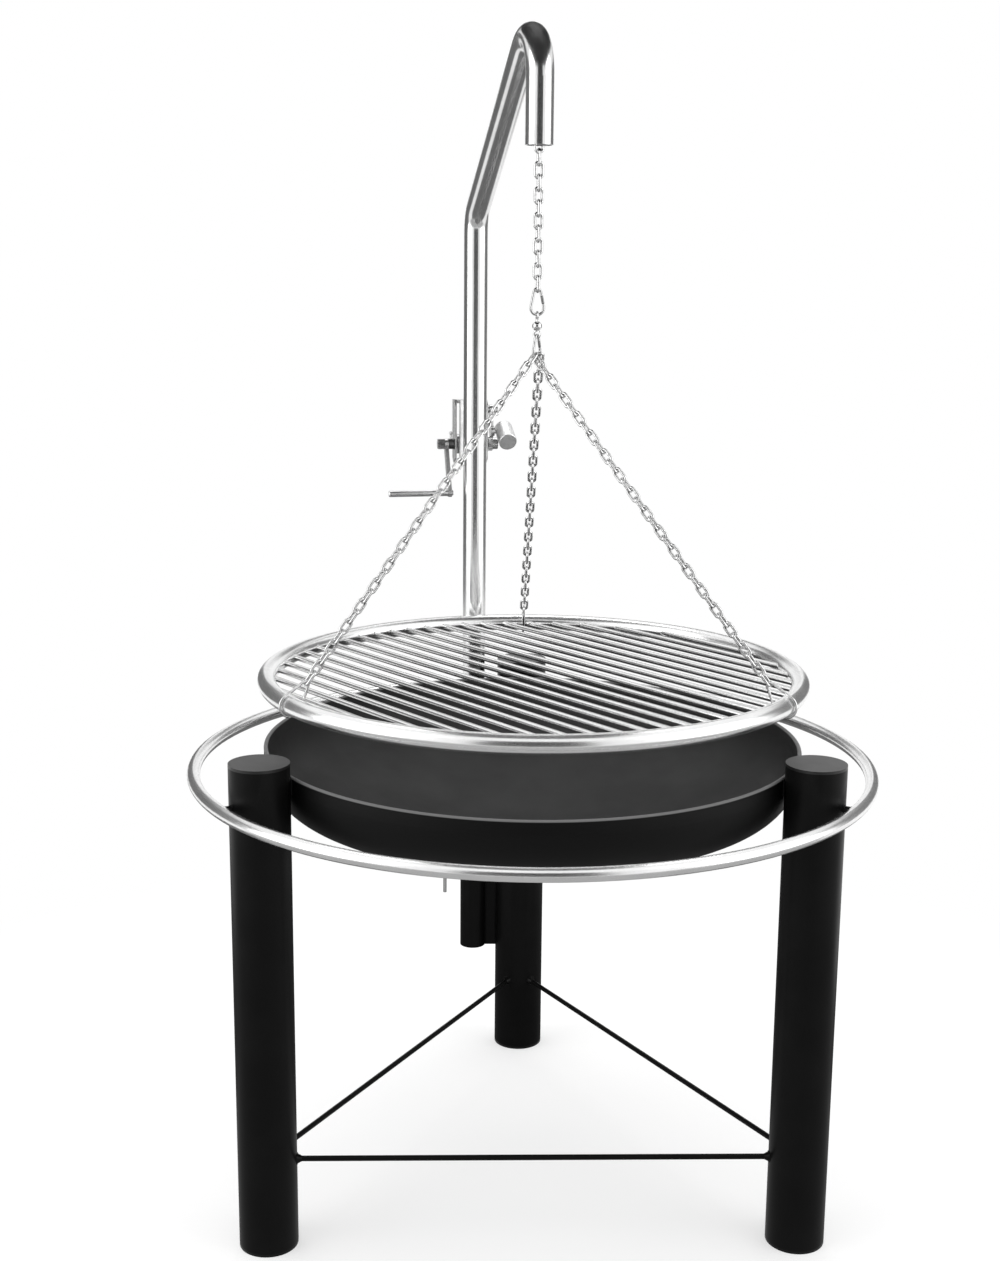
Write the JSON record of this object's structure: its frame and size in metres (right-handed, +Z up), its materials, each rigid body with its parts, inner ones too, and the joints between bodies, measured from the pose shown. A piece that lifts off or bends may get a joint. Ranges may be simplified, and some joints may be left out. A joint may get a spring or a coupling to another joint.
{
  "type": "swing grill",
  "caption": "Swing grill: dished fire bowl on tube legs with a ring rail, and a turning hooked mast whose hand winch hangs a round grate on chains.",
  "frame": {"origin": "on the floor under the middle of the bowl", "axes": "+Z up, +Y towards the rear leg that carries the mast"},
  "size_m": [1.0242, 1.024, 1.73],
  "materials": {
    "black_powder_coat": "satin black powder coat",
    "bowl_steel": "matte black heat-proof paint",
    "stainless_tube": "polished stainless steel",
    "stainless_fittings": "satin stainless steel",
    "dark_steel": "dark oiled steel",
    "chain_steel": "bright galvanised steel",
    "stainless_bars": "drawn stainless bar"
  },
  "bodies": {
    "stand": {"leg_rear": "black_powder_coat", "leg_front_left": "black_powder_coat", "leg_front_right": "black_powder_coat", "leg_top_caps": "black_powder_coat", "leg_foot_plates": "black_powder_coat", "brace_front": "black_powder_coat", "brace_left": "black_powder_coat", "brace_right": "black_powder_coat", "rail_standoffs": "black_powder_coat", "mast_socket": "black_powder_coat", "socket_base_cap": "black_powder_coat", "socket_web": "black_powder_coat", "clamp_boss": "black_powder_coat", "fire_bowl": "bowl_steel", "guard_rail_ring": "stainless_tube"},
    "clamp": {"clamp_screw": "stainless_fittings", "clamp_tommy_bar": "stainless_fittings"},
    "mast": {"mast_arm": "stainless_tube", "winch_cheek_left": "stainless_fittings", "winch_cheek_right": "stainless_fittings", "winch_mount_plate": "stainless_fittings", "winch_top_plate": "stainless_fittings", "shaft_bushes": "dark_steel", "ball_head_screw": "stainless_fittings", "pawl_pivot_bolt": "stainless_fittings", "hoist_rope": "chain_steel"},
    "crank": {"winch_shaft": "stainless_fittings", "rope_drum": "stainless_fittings", "ratchet_wheel": "stainless_fittings", "shaft_collar": "stainless_fittings", "crank_arm": "stainless_fittings", "crank_handle": "stainless_fittings", "handle_rivet": "stainless_fittings", "shaft_end_nut": "stainless_fittings"},
    "pawl": {"ratchet_pawl": "stainless_fittings", "pawl_stud": "stainless_fittings", "pawl_weight": "stainless_fittings"},
    "hoist": {"hoist_chain_upper": "chain_steel"},
    "swing": {"swing_link": "chain_steel"},
    "hanger": {"hoist_chain_lower": "chain_steel", "hoist_carabiner": "chain_steel", "swivel_upper": "chain_steel"},
    "hoist_gate": {"hoist_carabiner_gate": "chain_steel"},
    "grate": {"swivel_lower": "chain_steel", "lower_carabiner": "chain_steel", "grate_chain_left": "chain_steel", "grate_chain_right": "chain_steel", "grate_chain_rear": "chain_steel", "grate_hangers": "chain_steel", "grate_ring": "stainless_tube", "grate_bars": "stainless_bars"},
    "lower_gate": {"lower_carabiner_gate": "chain_steel"}
  },
  "joints": [
    {"name": "mast_swing", "type": "hinge", "parent": "stand", "child": "mast", "pos_m": [-0.084, 0.44255, 0.4], "axis": [0, 0, 1], "continuous": true},
    {"name": "clamp_screw_turn", "type": "hinge", "parent": "stand", "child": "clamp", "pos_m": [-0.12, 0.44255, 0.335], "axis": [-1, 0, 0], "continuous": true},
    {"name": "crank_turn", "type": "hinge", "parent": "mast", "child": "crank", "pos_m": [-0.09221, 0.4858, 1.0945], "axis": [0.9825, 0.1865, 0], "range_deg": [-30, 360]},
    {"name": "pawl_turn", "type": "hinge", "parent": "mast", "child": "pawl", "pos_m": [-0.0567, 0.48643, 1.154], "axis": [-0.9825, -0.1865, 0], "range_deg": [-2.5, 25]},
    {"name": "grate_lift", "type": "slide", "parent": "mast", "child": "hoist", "axis": [0, 0, 1], "range_m": [-0.0073, 0.088], "deforming": ["hoist_rope"]},
    {"name": "swing_fore_aft", "type": "hinge", "parent": "hoist", "child": "swing", "pos_m": [0, 0, 1.44485], "axis": [-0.9825, -0.1865, 0], "range_deg": [-1.5, 6]},
    {"name": "swing_sideways", "type": "hinge", "parent": "swing", "child": "hanger", "pos_m": [0, 0, 1.42745], "axis": [0.1865, -0.9825, 0], "range_deg": [-4, 4]},
    {"name": "swivel_spin", "type": "hinge", "parent": "hanger", "child": "grate", "pos_m": [0, 0, 1.3073], "axis": [0, 0, 1], "continuous": true},
    {"name": "hoist_gate_open", "type": "hinge", "parent": "hanger", "child": "hoist_gate", "pos_m": [0.00815, 0.00155, 1.33958], "axis": [0.1865, -0.9825, 0], "range_deg": [0, 18], "stiffness_Nm_per_rad": 0.05},
    {"name": "lower_gate_open", "type": "hinge", "parent": "grate", "child": "lower_gate", "pos_m": [0.00437, 0.00757, 1.27798], "axis": [0.866, -0.5, 0], "range_deg": [0, 18], "stiffness_Nm_per_rad": 0.05}
  ],
  "couplings": [
    {"joint": "crank_turn", "follows": "grate_lift", "rad_per_m": 71.327}
  ]
}
